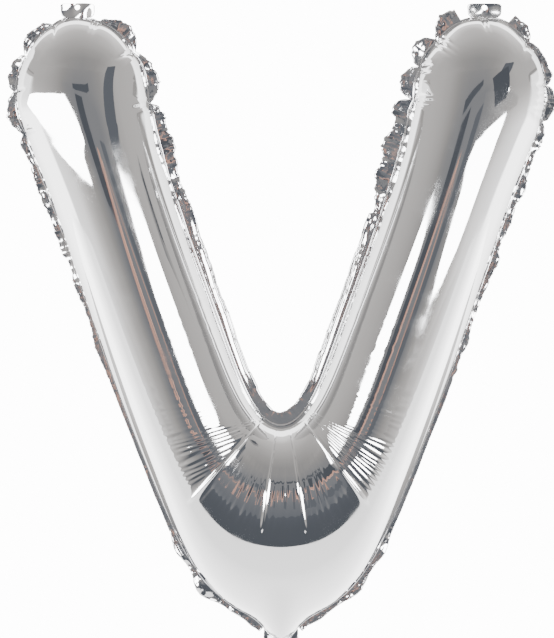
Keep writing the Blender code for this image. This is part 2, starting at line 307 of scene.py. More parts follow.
for name, outline in LIT_PANELS.items():
    panel(name, outline, SOFT_BOX_DISTANCE, (1.0, 1.0, 1.0), SOFT_BOX_GLOW)
for name, (outline, tone) in DIM_PANELS.items():
    panel(name, outline, SOFT_BOX_DISTANCE, tinted(tone)[:3], 1.0)
for number, (foot_turn, head_turn, wide, foot, head, bright) in enumerate(BROWN_POSTS):
    mesh = bpy.data.meshes.new(f"door_post_{number}")
    corners = [(foot_turn, foot), (foot_turn + wide, foot), (head_turn + wide, head), (head_turn, head)]
    mesh.from_pydata([round_the_room(*corner, POST_DISTANCE) for corner in corners], [], [(0, 1, 2, 3)])
    mesh.materials.append(glowing(mesh.name, POST_COLOUR, bright))
    mirror_only(mesh.name, mesh)

CARD_Y = -0.12
CARD_STEP = 0.002  # how far one card stands behind the other
CARD_TONES = {
    # outlines of what stands in front of the right soft box, as the right arm sees it: x, z, tone
    "card_near_right": [
        (0.1320, -0.0710, 0.27), (0.1500, -0.0690, 0.28), (0.1754, -0.0662, 0.32), (0.2118, -0.0628, 0.42),
        (0.2528, -0.0610, 0.52), (0.3000, -0.0580, 0.56), (0.3000, -0.0350, 0.56), (0.2300, -0.0250, 0.48),
        (0.1320, -0.0250, 0.27),
    ],
    "card_stripe": [
        (0.1640, -0.0470, 0.10), (0.2037, -0.0385, 0.10), (0.2186, -0.0135, 0.10), (0.2283, 0.0403, 0.10),
        (0.1492, -0.0068, 0.10),
    ],
}
for step, (name, corners) in enumerate(CARD_TONES.items()):
    mesh = bpy.data.meshes.new(name)
    points = [(x, CARD_Y + CARD_STEP * step, z) for x, z, _ in corners]
    mesh.from_pydata(points, [], [tuple(range(len(corners)))])
    layer = mesh.color_attributes.new("tone", "FLOAT_COLOR", "POINT")
    layer.data.foreach_set("color", np.array([tinted(tone) for _, _, tone in corners]).ravel())
    mesh.materials.append(glowing(name, None, 1.0))
    mirror_only(name, mesh)


# The two foil sheets: polyester film, silvered and polished, cut to the letter and welded together
# round its edge. Blown up, each arm is a tube whose ends pucker along the weld, and the sheet folds
# like a bellows at the elbows and fans out in creases below the crotch.
SECTIONS = np.array([
    # One section across the left arm in each row, from its tip to the letter's middle: outer_x, outer_z,
    # inner_x, inner_z, depth, share of the way out at which it is deepest, how much its outer side sags
    (-0.1187, -0.0065, -0.1187, -0.0065, 0.0000, 0.50, 0.00),
    (-0.1328, -0.0103, -0.1042, -0.0094, 0.0128, 0.50, 0.00),
    (-0.1457, -0.0229, -0.0915, -0.0184, 0.0230, 0.50, 0.00),
    (-0.1532, -0.0364, -0.0819, -0.0302, 0.0292, 0.50, 0.00),
    (-0.1570, -0.0559, -0.0787, -0.0407, 0.0320, 0.50, 0.00),
    (-0.1460, -0.0828, -0.0749, -0.0655, 0.0342, 0.50, 0.00),
    (-0.1337, -0.1130, -0.0690, -0.0876, 0.0352, 0.50, 0.00),
    (-0.1140, -0.1706, -0.0494, -0.1466, 0.0350, 0.50, 0.00),
    (-0.0977, -0.2173, -0.0324, -0.1933, 0.0348, 0.50, 0.00),
    (-0.0845, -0.2520, -0.0222, -0.2222, 0.0350, 0.50, 0.00),
    (-0.0703, -0.2872, -0.0126, -0.2370, 0.0355, 0.50, 0.00),
    (-0.0545, -0.3222, -0.0062, -0.2422, 0.0360, 0.46, 0.05),
    (-0.0364, -0.3455, -0.0026, -0.2434, 0.0365, 0.42, 0.12),
    (-0.0172, -0.3562, -0.0010, -0.2436, 0.0370, 0.39, 0.18),
    (-0.0000, -0.3592, -0.0000, -0.2436, 0.0370, 0.38, 0.20),
])
NECK_DROP = 0.0125  # how far the weld dips at the middle of the foot, where the tail begins
NECK_HALF = 0.0105
NECK_REACH = 0.0240
ROW_SPACING = [
    # section number, distance from one row of faces to the next there
    (0.0, 0.0005),
    (4.0, 0.0006),
    (5.0, 0.0014),
    (8.5, 0.0014),
    (8.9, 0.0005),
    (14.0, 0.0005),
]
SHEET_COLUMNS = 88  # faces across an arm
SMOOTH_REACH = 4  # mirrored sections that carry the curves on past the middle
EVENNESS = [
    # section number, how far along the arm the curves are evened out there
    (0.0, 0.0006),
    (1.0, 0.0020),
    (3.0, 0.0090),
    (4.0, 0.0130),
    (5.0, 0.0200),
    (8.0, 0.0220),
    (10.0, 0.0120),
    (14.0, 0.0060),
]


def spline(knots, values, at):
    """The natural cubic curve through the rows of a table."""
    gaps = np.diff(knots)
    slopes = np.diff(values, axis=0) / gaps[:, None]
    system = np.eye(len(knots))
    bends = np.zeros_like(values)
    for i in range(1, len(knots) - 1):
        system[i, i - 1:i + 2] = gaps[i - 1], 2 * (gaps[i - 1] + gaps[i]), gaps[i]
        bends[i] = 6 * (slopes[i] - slopes[i - 1])
    bends = np.linalg.solve(system, bends)
    cell = np.clip(np.searchsorted(knots, at) - 1, 0, len(gaps) - 1)
    gap = gaps[cell][:, None]
    after = (at - knots[cell])[:, None]
    before = gap - after
    low, high = bends[cell], bends[cell + 1]
    line = values[cell] * before / gap + values[cell + 1] * after / gap
    pull = low * before * (before**2 - gap**2) + high * after * (after**2 - gap**2)
    return line + pull / (6 * gap)


def between(values, start, end):
    """0 below start, 1 above end and smooth in between."""
    share = np.clip((values - start) / (end - start), 0.0, 1.0)
    return share * share * (3 - 2 * share)


outer_steps = np.linalg.norm(np.diff(SECTIONS[:, 0:2], axis=0), axis=1)
inner_steps = np.linalg.norm(np.diff(SECTIONS[:, 2:4], axis=0), axis=1)
section_places = np.concatenate([[0.0], np.cumsum((outer_steps + inner_steps) / 2)])
arm_length = section_places[-1]

numbers, spacings = np.array(ROW_SPACING).T
FINE_STEPS = 3000
fine_places = np.linspace(0.0, arm_length, FINE_STEPS)
fine_numbers = np.interp(fine_places, section_places, np.arange(len(SECTIONS)))
rows_so_far = np.cumsum(1 / np.interp(fine_numbers, numbers, spacings)) * (fine_places[1] - fine_places[0])
arm_rows = int(rows_so_far[-1])
arm_places = np.interp(np.linspace(0.0, rows_so_far[-1], arm_rows + 1), rows_so_far, fine_places)
arm_places[0] = 0.0


def letter_section(places):
    """The columns of the table of sections, at each place along the left arm."""
    count = len(SECTIONS)
    flipped = SECTIONS[count - 2:count - 2 - SMOOTH_REACH:-1] * (-1, 1, -1, 1, 1, 1, 1)
    past = 2 * arm_length - section_places[count - 2:count - 2 - SMOOTH_REACH:-1]
    # Beyond the tip the outer side goes on as the inner one, so the arm's end is round.
    tip = SECTIONS[SMOOTH_REACH:0:-1][:, [2, 3, 0, 1, 4, 5, 6]] * (1, 1, 1, 1, -1, 1, 1)
    knots = np.concatenate([-section_places[SMOOTH_REACH:0:-1], section_places, past])
    fine = np.linspace(knots[0], knots[-1], FINE_STEPS)
    curves = spline(knots, np.concatenate([tip, SECTIONS, flipped]), fine)
    even_numbers, reaches = np.array(EVENNESS).T
    reach = np.interp(np.interp(places, section_places, np.arange(count)), even_numbers, reaches)
    weights = np.exp(-0.5 * ((fine[None, :] - places[:, None]) / reach[:, None]) ** 2)
    return weights @ curves / weights.sum(axis=1, keepdims=True)


def blown_sheet(across):
    """Points of the smooth blown-up front sheet, in rows from the left arm's tip to the right one's.
    across runs from 0 at the weld's outer side to 1 at its inner side."""
    values = letter_section(arm_places)
    outer, inner = values[:, None, 0:2], values[:, None, 2:4]
    depth, crest, sag = (values[:, column, None] for column in (4, 5, 6))
    share = ((1 - np.cos(math.pi * across)) / 2)[None, :]
    flat = outer * (1 - share[..., None]) + inner * share[..., None]
    from_weld = np.linalg.norm(flat - outer, axis=2)
    dip = NECK_DROP * np.exp(-(outer[..., 0] / NECK_HALF) ** 2)
    flat[..., 1] -= dip * np.clip(1 - from_weld / NECK_REACH, 0.0, 1.0) ** 2
    inwards = np.clip((crest - (1 - share)) / crest, 0.0, 1.0)
    outwards = np.clip(((1 - share) - crest) / (1 - crest), 0.0, 1.0)
    rise = np.sqrt(1 - inwards**2) * np.sqrt(1 - outwards**2) * (1 - sag * outwards**2)
    left = np.stack([flat[..., 0], -depth * rise, flat[..., 1]], axis=2)
    right = left[-2::-1] * (-1, 1, 1)
    return np.concatenate([left, right])


def sheet_normals(points):
    """Directions that point out of the front sheet."""
    ahead = np.gradient(points, axis=0)
    over = np.gradient(points, axis=1)
    normals = np.cross(ahead, over)
    normals /= np.maximum(np.linalg.norm(normals, axis=2, keepdims=True), 1e-12)
    for tip, near in ((0, 1), (-1, -2)):
        mean = normals[near, SHEET_COLUMNS // 4:-SHEET_COLUMNS // 4].mean(axis=0)
        normals[tip] = mean / np.linalg.norm(mean)
    return normals


CAP_X = 0.1168
CAP_Z = -0.0440
CAP_RADIUS = 0.0375
CAP_PUCKERS = {
    # where the weld is nipped in round each arm's end: angles from upright and clockwise, in degrees
    -1: (-150.0, -133.0, -98.0, -63.0, -25.6, 15.0, 60.6, 107.0, 128.0),
    1: (-126.0, -104.0, -75.8, -46.7, 2.5, 49.7, 92.9, 123.0, 145.0),
}
WELD_WAVE = 0.0012  # how far the weld swings to the front and to the back from pucker to pucker
WELD_SCALLOP = 0.0011  # how far it stands out between them
SCALLOP_POWER = 0.6  # the lower, the squarer the scallops
SCALLOP_MIDDLE = 0.6  # the part of a scallop's height at which the plain outline lies
WAVE_REACH = 0.0060
CAP_REACH = 0.0600  # how far from the middle of an arm's end the puckers go
CAP_FADE = 20.0  # degrees over which they grow, from the first pucker on and up to the last
CAP_CREASES = [
    # creases that run in from the arm ends' weld: x and z at the weld, x and z where they end, depth,
    # half width
    (-0.1323, -0.0115, -0.1312, -0.0208, 0.00090, 0.0009),
    (-0.1087, -0.0085, -0.1114, -0.0179, 0.00080, 0.0007),
    (-0.1061, -0.0091, -0.1090, -0.0190, 0.00080, 0.0007),
    (-0.0828, -0.0249, -0.0968, -0.0330, 0.00110, 0.0009),
    (-0.0746, -0.0569, -0.0863, -0.0610, 0.00090, 0.0008),
    (-0.1522, -0.0260, -0.1457, -0.0319, 0.00090, 0.0009),
    (-0.1545, -0.0494, -0.1469, -0.0488, 0.00090, 0.0009),
    (-0.1487, -0.0738, -0.1405, -0.0721, 0.00080, 0.0009),
    (0.1172, -0.0085, 0.1195, -0.0179, 0.00080, 0.0007),
    (0.1195, -0.0085, 0.1218, -0.0167, 0.00070, 0.0007),
    (0.0915, -0.0202, 0.1014, -0.0301, 0.00100, 0.0008),
    (0.0939, -0.0179, 0.1032, -0.0272, 0.00070, 0.0007),
    (0.0898, -0.0231, 0.0985, -0.0319, 0.00070, 0.0007),
    (0.0828, -0.0342, 0.0886, -0.0348, 0.00080, 0.0008),
    (0.0822, -0.0383, 0.0880, -0.0389, 0.00080, 0.0008),
    (0.0770, -0.0523, 0.0892, -0.0534, 0.00080, 0.0008),
    (0.0770, -0.0546, 0.0915, -0.0569, 0.00090, 0.0008),
    (0.0781, -0.0575, 0.0880, -0.0593, 0.00060, 0.0007),
    (0.1434, -0.0214, 0.1399, -0.0289, 0.00090, 0.0009),
    (0.1539, -0.0459, 0.1452, -0.0470, 0.00080, 0.0008),
    (0.1533, -0.0511, 0.1469, -0.0517, 0.00050, 0.0007),
    (0.1522, -0.0558, 0.1463, -0.0563, 0.00050, 0.0007),
    (0.1510, -0.0604, 0.1452, -0.0604, 0.00050, 0.0007),
]


def beside_line(points, line):
    """How far along a line each point is, as a share, and how far to its left."""
    start_x, start_z, end_x, end_z = line[:4]
    ahead_x, ahead_z = end_x - start_x, end_z - start_z
    length = math.hypot(ahead_x, ahead_z)
    x, z = points[..., 0] - start_x, points[..., 2] - start_z
    return (x * ahead_x + z * ahead_z) / length**2, (z * ahead_x - x * ahead_z) / length


def cap_cells(points, side):
    """Which cell between two puckers each point of an arm's end lies in, how far across the cell it
    is, and how much it belongs to the round end."""
    x = points[..., 0] - side * CAP_X
    z = points[..., 2] - CAP_Z
    angle = np.degrees(np.arctan2(x, z))
    marks = np.array(CAP_PUCKERS[side])
    cell = np.clip(np.searchsorted(marks, angle) - 1, 0, len(marks) - 2)
    phase = np.clip((angle - marks[cell]) / (marks[cell + 1] - marks[cell]), 0.0, 1.0)
    ends = np.clip(np.minimum(angle - marks[0], marks[-1] - angle) / CAP_FADE, 0.0, 1.0)
    return cell, phase, np.where(np.hypot(x, z) < CAP_REACH, ends, 0.0)


def cap_creases(points):
    """How far the creases at the arms' ends pull the sheet in."""
    pull = np.zeros(points.shape[:2])
    for line in CAP_CREASES:
        share, off = beside_line(points, line)
        ends = between(share, -0.40, -0.10) * (1 - between(share, 0.20, 1.10))
        pull += line[4] * ends / (1 + (off / line[5]) ** 2) ** 1.5
    return pull


def weld_wave(points, side, from_weld):
    """How the weld moves at one arm's end, and the sheets beside it with it: out and to the back."""
    cell, phase, ends = cap_cells(points, side)
    near = ends * np.exp(-(from_weld / WAVE_REACH) ** 2)
    bow = np.sin(math.pi * phase)
    x = points[..., 0] - side * CAP_X
    z = points[..., 2] - CAP_Z
    radius = np.maximum(np.hypot(x, z), 0.001)
    out = WELD_SCALLOP * (bow ** SCALLOP_POWER - SCALLOP_MIDDLE) * near
    to_back = WELD_WAVE * bow * np.where(cell % 2 == 0, 1.0, -1.0) * near
    return np.stack([out * x / radius, to_back, out * z / radius], axis=2)


FAN_CREASES = [
    # x and z of each crease's ends below the crotch, and its height
    (-0.0122, -0.2417, -0.0519, -0.2860, 0.00075),
    (-0.0029, -0.2476, -0.0111, -0.3029, 0.00060),
    (0.0058, -0.2476, 0.0140, -0.3029, 0.00060),
    (0.0146, -0.2423, 0.0490, -0.2872, 0.00075),
]
CREASE_HALF = 0.0010
FAN_Z = -0.2235  # the point that the fan spreads from, on the letter's middle line
FAN_STARTS = (0.036, 0.052)  # the distances from that point over which the wrinkles grow
FAN_ENDS = (0.074, 0.082)  # and over which they fade
FAN_CALM = (16.0, 34.0)  # degrees aside over which they become a quarter as high
WRINKLE_HEIGHT = 0.000022
WRINKLES_PER_RADIAN = (61.0, 83.0, 107.0, 139.0, 47.0)


def crotch_fan(points):
    """How far the four long creases below the crotch, and the fine wrinkles between them, stand out."""
    lift = np.zeros(points.shape[:2])
    for line in FAN_CREASES:
        share, off = beside_line(points, line)
        half = CREASE_HALF * (0.45 + 0.75 * np.clip(share, 0.0, 1.0))
        ends = between(share, -0.06, 0.10) * (1 - between(share, 0.94, 1.05))
        lift += line[4] * (0.65 + 0.35 * np.clip(share, 0.0, 1.0)) * ends / (1 + (off / half) ** 2) ** 1.5
    x = points[..., 0]
    z = points[..., 2] - FAN_Z
    radius = np.hypot(x, z)
    angle = np.arctan2(x, -z)
    fade = between(radius, *FAN_STARTS) * (1 - between(radius, *FAN_ENDS))
    fade *= 1 - 0.75 * between(np.abs(np.degrees(angle)), *FAN_CALM)
    for number, waves in enumerate(WRINKLES_PER_RADIAN):
        slant = 175 * radius * (number % 2)
        lift += WRINKLE_HEIGHT * fade * np.sin(waves * angle + 2.1 * number + slant)
    return lift


ELBOWS = [
    # centre x and z that the ribs fan out from, first and last rib's angle below level, ribs, how far
    # they reach, and the crease where they begin
    (0.0317, -0.2281, 12.3, 33.0, 11, 0.103, FAN_CREASES[0]),
    (0.0066, -0.2309, 20.0, 52.5, 12, 0.077, FAN_CREASES[3]),
]
RIB_HEIGHT = 0.00030


def elbow_bellows(points, elbow):
    """The fine ribs across an arm at its elbow."""
    centre_x, centre_z, start, end, ribs, reach, crease_line = elbow
    side = 1.0 if crease_line[0] > 0 else -1.0
    x = side * (points[..., 0] - centre_x)
    z = points[..., 2] - centre_z
    radius = np.hypot(x, z)
    phase = (np.degrees(np.arctan2(-z, x)) - start) / (end - start)
    waver = 1.6 * np.sin(9 * phase + side) + 0.8 * np.sin(110 * radius + 13 * phase)
    wave = np.sin(math.pi * (phase * ribs + 0.18 * waver))
    share, off = beside_line(points, crease_line)
    fade = between(phase, -0.03, 0.22) * (1 - between(phase, 0.97, 1.03))
    fade *= between(side * off, 0.0015, 0.0060) * (1 - between(radius, reach - 0.030, reach))
    fade *= 0.62 + 0.38 * np.sin(23 * phase + 70 * radius + side) * np.sin(51 * phase - 40 * radius)
    return RIB_HEIGHT * fade * (1.4 * np.abs(wave) ** 1.3 - 0.35) * np.where(x > 0, 1.0, 0.0)


def grid_piece(name, points):
    """A sheet whose points are given row by row, as a piece at the origin, with the row and the
    column of each of its vertices."""
    rows = points.shape[0] - 1
    columns = points.shape[1] - 1
    clear_selection()
    bpy.ops.mesh.primitive_grid_add(x_subdivisions=rows, y_subdivisions=columns, size=2.0)
    obj = name_it(bpy.context.object, name)
    flat = np.empty(len(obj.data.vertices) * 3)
    obj.data.vertices.foreach_get("co", flat)
    flat = flat.reshape(-1, 3)
    row = np.rint((flat[:, 0] + 1) / 2 * rows).astype(int)
    column = np.rint((flat[:, 1] + 1) / 2 * columns).astype(int)
    obj.data.vertices.foreach_set("co", points[row, column].ravel())
    obj.data.update()
    return obj, row, column


def make_active(obj):
    clear_selection()
    obj.select_set(True)
    bpy.context.view_layer.objects.active = obj


def close_doubles(obj, distance=0.00002):
    """Merges the points that lie on each other."""
    make_active(obj)
    bpy.ops.object.mode_set(mode="EDIT")
    bpy.ops.mesh.select_all(action="SELECT")
    bpy.ops.mesh.remove_doubles(threshold=distance)
    bpy.ops.object.mode_set(mode="OBJECT")


def flip(obj):
    """Turns a sheet's faces to its other side."""
    make_active(obj)
    bpy.ops.object.mode_set(mode="EDIT")
    bpy.ops.mesh.select_all(action="SELECT")
    bpy.ops.mesh.flip_normals()
    bpy.ops.object.mode_set(mode="OBJECT")


def give_wall(obj, thickness, offset):
    """Turns a sheet with no thickness into a thin solid one."""
    wall = obj.modifiers.new("Wall", "SOLIDIFY")
    wall.thickness = thickness
    wall.offset = offset
    make_active(obj)
    bpy.ops.object.modifier_apply(modifier=wall.name)
    obj.data.shade_smooth()


FOIL_COLOUR = (0.93, 0.935, 0.945, 1.0)
RUBBED_SCALE = 45.0
RUBBED_FROM = 0.45  # the foil is rubbed where its noise lies above this
RUBBED_TO = 0.75  # and most where it reaches this
RUBBED_DULLER = 0.10  # how much rougher it is there


def foil_finish(name, crinkle, crinkle_size, roughness):
    """Silvered film: a mirror with fine crinkles and rubbed spots."""
    made = bpy.data.materials.new(name)
    made.use_nodes = True
    nodes = made.node_tree.nodes
    links = made.node_tree.links
    shader = nodes["Principled BSDF"]
    shader.inputs["Base Color"].default_value = FOIL_COLOUR
    shader.inputs["Metallic"].default_value = 1.0
    place = nodes.new("ShaderNodeTexCoord")
    fine = nodes.new("ShaderNodeTexNoise")
    fine.inputs["Scale"].default_value = 1.0 / crinkle_size
    fine.inputs["Detail"].default_value = 3.0
    links.new(place.outputs["Object"], fine.inputs["Vector"])
    bump = nodes.new("ShaderNodeBump")
    bump.inputs["Strength"].default_value = 1.0
    bump.inputs["Distance"].default_value = crinkle
    links.new(fine.outputs["Fac"], bump.inputs["Height"])
    links.new(bump.outputs["Normal"], shader.inputs["Normal"])
    rubbed = nodes.new("ShaderNodeTexNoise")
    rubbed.inputs["Scale"].default_value = RUBBED_SCALE
    rubbed.inputs["Detail"].default_value = 6.0
    links.new(place.outputs["Object"], rubbed.inputs["Vector"])
    dull = nodes.new("ShaderNodeMapRange")
    dull.inputs["From Min"].default_value = RUBBED_FROM
    dull.inputs["From Max"].default_value = RUBBED_TO
    dull.inputs["To Min"].default_value = roughness
    dull.inputs["To Max"].default_value = roughness + RUBBED_DULLER
    links.new(rubbed.outputs["Fac"], dull.inputs["Value"])
    links.new(dull.outputs["Result"], shader.inputs["Roughness"])
    return made


WELD_CALM = 0.0008  # how far from the weld the creases and ribs have their full height

across = np.linspace(0.0, 1.0, SHEET_COLUMNS + 1)
smooth_sheet = blown_sheet(across)
smooth_normals = sheet_normals(smooth_sheet)
chord = np.linalg.norm(smooth_sheet[:, :1] - smooth_sheet[:, -1:], axis=2)
way_across = (1 - np.cos(math.pi * across)) / 2
from_side = chord * np.minimum(way_across, 1 - way_across)
left_cap = np.hypot(smooth_sheet[..., 0] + CAP_X, smooth_sheet[..., 2] - CAP_Z)
right_cap = np.hypot(smooth_sheet[..., 0] - CAP_X, smooth_sheet[..., 2] - CAP_Z)
from_weld = np.maximum(CAP_RADIUS - np.minimum(left_cap, right_cap), 0.0)
from_weld = np.where(smooth_sheet[..., 2] > CAP_Z, from_weld, from_side)
lift = crotch_fan(smooth_sheet)
for elbow in ELBOWS:
    lift += elbow_bellows(smooth_sheet, elbow)
lift -= cap_creases(smooth_sheet)
lift *= np.minimum(from_side / WELD_CALM, 1.0)
shift = weld_wave(smooth_sheet, -1, from_weld) + weld_wave(smooth_sheet, 1, from_weld)
front_points = smooth_sheet + smooth_normals * lift[..., None]
front_points[..., 1] = np.minimum(front_points[..., 1], 0.0)
back_points = front_points * (1, -1, 1) + shift
front_points += shift

polished_foil = foil_finish("polished_foil", crinkle=0.000004, crinkle_size=0.007, roughness=0.025)
front = grid_piece("foil_front", front_points)[0]
back = grid_piece("foil_back", back_points)[0]
flip(back)
for sheet, node in ((front, "front_sheet"), (back, "back_sheet")):
    close_doubles(sheet)
    sheet.data.shade_smooth()
    sheet.data.materials.append(polished_foil)
    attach(sheet, "root")
    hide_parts(node)


# The welded margin: outside the weld the two films are fused into one flat strip. It was cut for the
# flat letter and is too long for the blown-up one, so it stands in ruffles. A cloth simulation of the
# strip, held along the weld, puts them there.
MARGIN_WIDTHS = [
    # how far along the weld from the tail to the crotch, width, how much too long the free edge is (as
    # a share of its length, per metre of width)
    (0.00, 0.0030, 16.0),
    (0.10, 0.0026, 16.0),
    (0.20, 0.0022, 4.0),
    (0.30, 0.0032, 5.0),
    (0.38, 0.0042, 14.0),
    (0.46, 0.0044, 18.0),
    (0.50, 0.0060, 22.0),
    (0.60, 0.0066, 24.0),
    (0.67, 0.0088, 24.0),
    (0.76, 0.0088, 18.0),
    (0.82, 0.0070, 6.0),
    (0.93, 0.0068, 2.0),
    (0.97, 0.0072, 0.0),
    (1.00, 0.0072, 0.0),
]
MARGIN_LUMPS = [
    # places where more of the strip is gathered: x, z, how far it reaches, how much wider it is there
    (-0.0560, -0.3140, 0.0080, 0.0024),
    (-0.0437, -0.3385, 0.0090, 0.0050),
    (0.0600, -0.3164, 0.0080, 0.0022),
    (0.0461, -0.3397, 0.0080, 0.0046),
    (-0.0181, -0.3601, 0.0060, 0.0030),
    (0.0216, -0.3560, 0.0060, 0.0020),
    (-0.0239, -0.3490, 0.0060, 0.0010),
]
LUMP_FRILL = 45.0
NIP = 0.0012  # the margin's width where a pucker nips the weld in
UNEVEN_PLAIN = 0.04  # how unevenly the margin's edge is cut, as a share of its width
UNEVEN_UPPER = 0.18  # and on the upper half of the letter, between the shares below
UPPER_SHARES = (0.25, 0.80)
WIDTH_LIMITS = (0.6, 1.5)
FRILL_SWING = 0.8  # how much more or less of the strip is gathered from one short run to the next
FRILL_CELLS = 9  # cells in such a run
FRILL_LIMITS = (0.1, 2.6)
MARGIN_CALM = 0.88  # how much calmer the margin is on the arms' lower sides and at the crotch
WANDER_DEPTH = 0.0006  # how far the free edge starts off to the front or back, over some cells
CRUMPLE_DEPTH = 0.0003  # and from cell to cell
CROTCH_FOLD = 0.0009  # how deep the long folds are beside the crotch
BEND_REACH = 10  # cells to each side over which the weld's own bend is evened out
MARGIN_CELL = 0.0010
MARGIN_ROWS = 8
MARGIN_FILM = 0.00015
FOOT_Z = -0.3000  # the weld of the foot lies below this height
TAIL_WIDTH = 0.0300
TAIL_ROOT = 0.0200  # where it leaves the foot
TAB_X = 0.1187
TAB_WIDTH = 0.0200
TAB_ROOT = 0.0013  # the margin's width below a tab
TAB_SIDE = 0.0040  # how far beside the tab it stays that narrow
ARM_TOP_Z = -0.0200  # only the weld of the arms' ends lies above this height
BUCKLE_FRAMES = 30


def hold_and_buckle(obj, held, rest, frames):
    """Lets a strip settle into its ruffles. Its held points stay, and rest gives its uncut shape."""
    obj.shape_key_add(name="Basis")
    key = obj.shape_key_add(name="flat_cut")
    key.data.foreach_set("co", rest.ravel())
    key.value = 0.0
    group = obj.vertex_groups.new(name="held")
    group.add([int(i) for i in np.flatnonzero(held)], 1.0, "REPLACE")
    cloth = obj.modifiers.new("Cloth", "CLOTH")
    settings = cloth.settings
    settings.quality = 8
    settings.mass = 0.02
    settings.tension_stiffness = 3000.0
    settings.compression_stiffness = 3000.0
    settings.shear_stiffness = 3000.0
    settings.bending_model = "ANGULAR"
    settings.bending_stiffness = 0.2
    settings.air_damping = 1.0
    settings.vertex_group_mass = "held"
    settings.rest_shape_key = key
    settings.effector_weights.gravity = 0.05
    scene = bpy.context.scene
    cloth.point_cache.frame_start = 1
    cloth.point_cache.frame_end = frames
    for frame_number in range(1, frames + 1):
        scene.frame_set(frame_number)
    settled = obj.evaluated_get(bpy.context.evaluated_depsgraph_get())
    shape = np.empty(len(obj.data.vertices) * 3)
    settled.data.vertices.foreach_get("co", shape)
    obj.modifiers.remove(cloth)
    obj.shape_key_clear()
    obj.data.vertices.foreach_set("co", shape)
    obj.data.update()
    scene.frame_set(1)


def weld_loop(cell):
    """The weld from the tail's left edge over both arms to its right edge, at even steps, with the
    way out of the letter and the share from tail to crotch at each point."""
    left = np.concatenate([front_points[arm_rows::-1, 0], front_points[1:arm_rows + 1, -1]])
    right = np.concatenate([front_points[arm_rows + 1:, -1], front_points[-2:arm_rows - 1:-1, 0]])
    line = np.concatenate([left, right])
    beside_tail = np.flatnonzero((np.abs(line[:, 0]) >= TAIL_ROOT / 2) | (line[:, 2] >= FOOT_Z))
    line = line[beside_tail[0]:beside_tail[-1] + 1]
    steps = np.linalg.norm(np.diff(line, axis=0), axis=1)
    run = np.concatenate([[0.0], np.cumsum(steps)])
    count = round(run[-1] / cell)
    even = np.linspace(0.0, run[-1], count + 1)
    loop = np.stack([np.interp(even, run, line[:, axis]) for axis in range(3)], axis=1)
    ahead = np.gradient(loop, axis=0)
    for _ in range(3):
        ahead[1:-1] = (ahead[:-2] + ahead[1:-1] * 2 + ahead[2:]) / 4
    out = np.stack([-ahead[:, 2], np.zeros(len(loop)), ahead[:, 0]], axis=1)
    out /= np.linalg.norm(out, axis=1, keepdims=True)
    share = 1 - np.abs(even / run[-1] * 2 - 1)
    return loop, out, share


random = np.random.default_rng(7)


def uneven_run(count, cells):
    """Random swings along the strip, each of which takes some cells."""
    return np.convolve(random.normal(size=count + cells - 1), np.ones(cells) / cells ** 0.5, "valid")


loop, way_out, share = weld_loop(MARGIN_CELL)
shares, widths, frills = np.array(MARGIN_WIDTHS).T
width = np.interp(share, shares, widths)
frill = np.interp(share, shares, frills)
near_tab = (np.abs(np.abs(loop[:, 0]) - TAB_X) < TAB_WIDTH / 2 + TAB_SIDE) & (loop[:, 2] > ARM_TOP_Z)
lower_side = between(share, 0.10, 0.14) * (1 - between(share, 0.24, 0.36))
crotch_side = between(share, 0.78, 0.86)
lively = (1 - MARGIN_CALM * lower_side) * (1 - MARGIN_CALM * crotch_side)
for x, z, reach, more in MARGIN_LUMPS:
    near = np.exp(-((loop[:, 0] - x) ** 2 + (loop[:, 2] - z) ** 2) / reach**2)
    width = width + more * near
    frill = frill + LUMP_FRILL * near
    lively = np.maximum(lively, near)
for side in (-1, 1):
    _, phase, ends = cap_cells(loop[:, None], side)
    full = NIP + (width - NIP) * np.sin(math.pi * phase[:, 0]) ** 0.7
    width = width + (full - width) * ends[:, 0]
ripple = uneven_run(len(loop), 11)
uneven = np.where((share > UPPER_SHARES[0]) & (share < UPPER_SHARES[1]), UNEVEN_UPPER, UNEVEN_PLAIN)
width = width * np.clip(1 + uneven * ripple, *WIDTH_LIMITS)
run_starts = np.arange(len(loop)) // FRILL_CELLS * FRILL_CELLS
frill = frill * np.clip(1 + FRILL_SWING * random.permutation(ripple)[run_starts], *FRILL_LIMITS)
width = np.where(near_tab, TAB_ROOT, width)
rows = np.linspace(0.0, 1.0, MARGIN_ROWS + 1)
strip = loop[:, None] + way_out[:, None] * (width[:, None] * rows)[..., None]
wander = uneven_run(len(loop), 9)
crumple = random.normal(size=strip.shape[:2])
for _ in range(2):
    crumple[1:-1] = (crumple[:-2] + crumple[1:-1] + crumple[2:]) / 3
strip[..., 1] += (WANDER_DEPTH * wander[:, None] + CRUMPLE_DEPTH * crumple) * rows * lively[:, None]
folds = CROTCH_FOLD * between(share, 0.76, 0.86) * (1 - between(share, 0.93, 0.97))
strip[..., 1] += folds[:, None] * np.sin(2 * math.pi * (1.6 * rows + 2.5 * share[:, None])) * rows
cell_length = np.linalg.norm(np.diff(loop, axis=0), axis=1)
cell_length = np.append(cell_length, cell_length[-1])
bend_cells = 2 * BEND_REACH + 1
even_weights = np.ones(bend_cells) / bend_cells
out_x, out_z = [np.convolve(np.pad(way_out[:, axis], BEND_REACH, mode="edge"), even_weights, "valid")
                for axis in (0, 2)]
bend = np.gradient(np.unwrap(np.arctan2(out_x, out_z))) / cell_length
heading = np.cumsum(cell_length * (bend + frill))
flat_line = np.cumsum(np.stack([np.cos(heading), np.sin(heading)], axis=1) * cell_length[:, None], axis=0)
flat_out = np.stack([np.sin(heading), -np.cos(heading)], axis=1)
flat_strip = np.zeros_like(strip)
flat_strip[..., ::2] = flat_line[:, None] + flat_out[:, None] * (width[:, None] * rows)[..., None]

